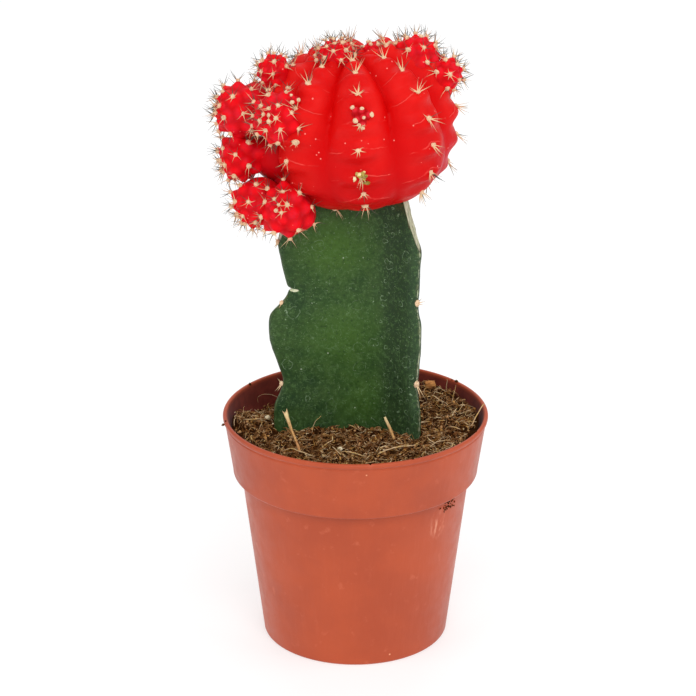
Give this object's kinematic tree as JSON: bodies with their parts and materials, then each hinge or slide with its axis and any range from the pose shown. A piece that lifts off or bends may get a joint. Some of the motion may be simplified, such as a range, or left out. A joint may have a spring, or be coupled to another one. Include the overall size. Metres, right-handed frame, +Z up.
{
  "type": "potted moon cactus",
  "caption": "Red ribbed globe cactus with clustered offsets, grafted on a three-ribbed green stem, in a small round terracotta-coloured nursery pot with soil.",
  "frame": {"origin": "centre of the pot's flat base, on the surface it stands on", "axes": "+Z up along the pot's axis, +X to the plant's right and -Y to its front, where one rib of the globe faces"},
  "size_m": [0.0586, 0.0556, 0.1311],
  "materials": {
    "pot_plastic": "satin moulded plastic, lightly scuffed",
    "peat": "rough, fibrous, with pale fibres and grains",
    "stem_skin": "waxy skin, mottled, finely speckled",
    "globe_flesh": "smooth, fleshy, slightly glossy",
    "dry_straw": "dry, fibrous",
    "bark": "rough, dry"
  },
  "bodies": {
    "root": {"pot": "pot_plastic", "soil": "peat", "rootstock": "stem_skin", "scion": "globe_flesh", "straw_tall": "dry_straw", "straw_short": "dry_straw", "bark_chip": "bark"}
  },
  "joints": []
}
